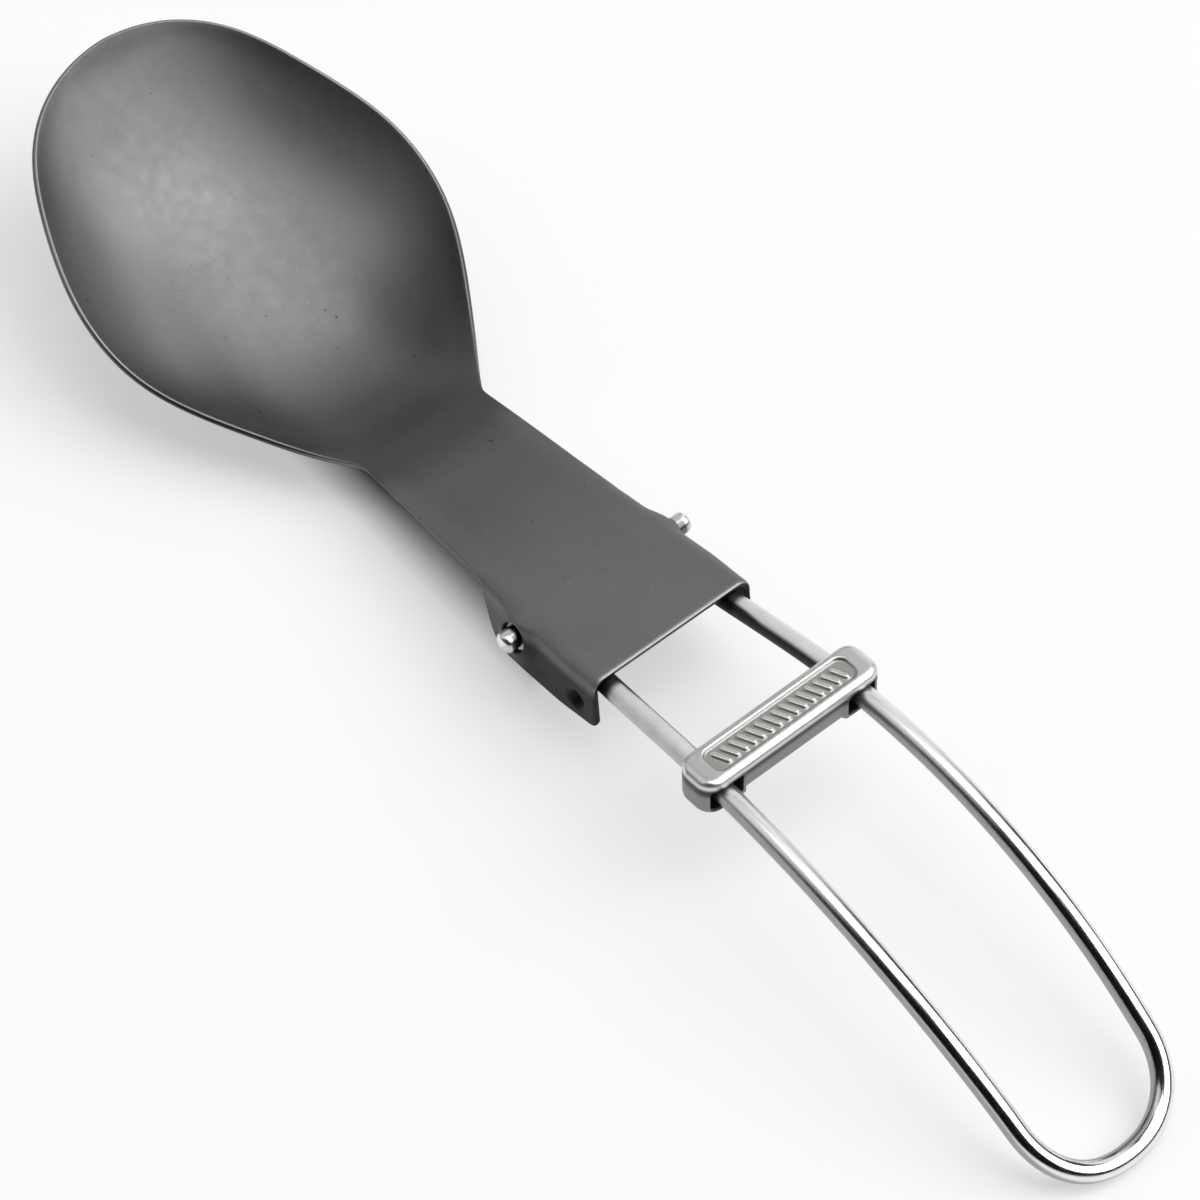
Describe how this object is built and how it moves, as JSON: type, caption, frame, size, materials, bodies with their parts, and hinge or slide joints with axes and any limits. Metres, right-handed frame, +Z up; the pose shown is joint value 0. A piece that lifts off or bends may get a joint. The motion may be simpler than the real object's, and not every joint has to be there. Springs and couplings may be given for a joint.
{
  "type": "folding spoon",
  "caption": "Camping spoon of thin sheet metal whose bent wire handle folds under the bowl and carries a sliding lock block.",
  "frame": {"origin": "centre of the footprint on the table, with the spoon unfolded and resting on its bowl's belly and the end of its wire loop", "axes": "+X from the handle's loop towards the bowl's tip, +Y across the bowl, +Z up out of the bowl"},
  "size_m": [0.1648, 0.0438, 0.0204],
  "materials": {
    "dark_titanium": "dark grey bead-blasted titanium, fine matte grain",
    "bright_titanium": "polished titanium wire, satin near the neck",
    "cast_silver": "satin cast metal with darker recesses"
  },
  "bodies": {
    "head": {"spoon_head": "dark_titanium"},
    "handle": {"wire_handle": "bright_titanium"},
    "lock": {"slide_lock": "cast_silver"}
  },
  "joints": [
    {"name": "handle_fold", "type": "hinge", "parent": "head", "child": "handle", "pos_m": [-0.00067, 0, 0.00889], "axis": [0, -1, 0], "range_deg": [0, 172]},
    {"name": "lock_slide", "type": "hinge", "parent": "handle", "child": "lock", "pos_m": [-0.03717, 0, -0.062], "axis": [0, -1, 0], "range_deg": [-6.7, 29.5]}
  ]
}
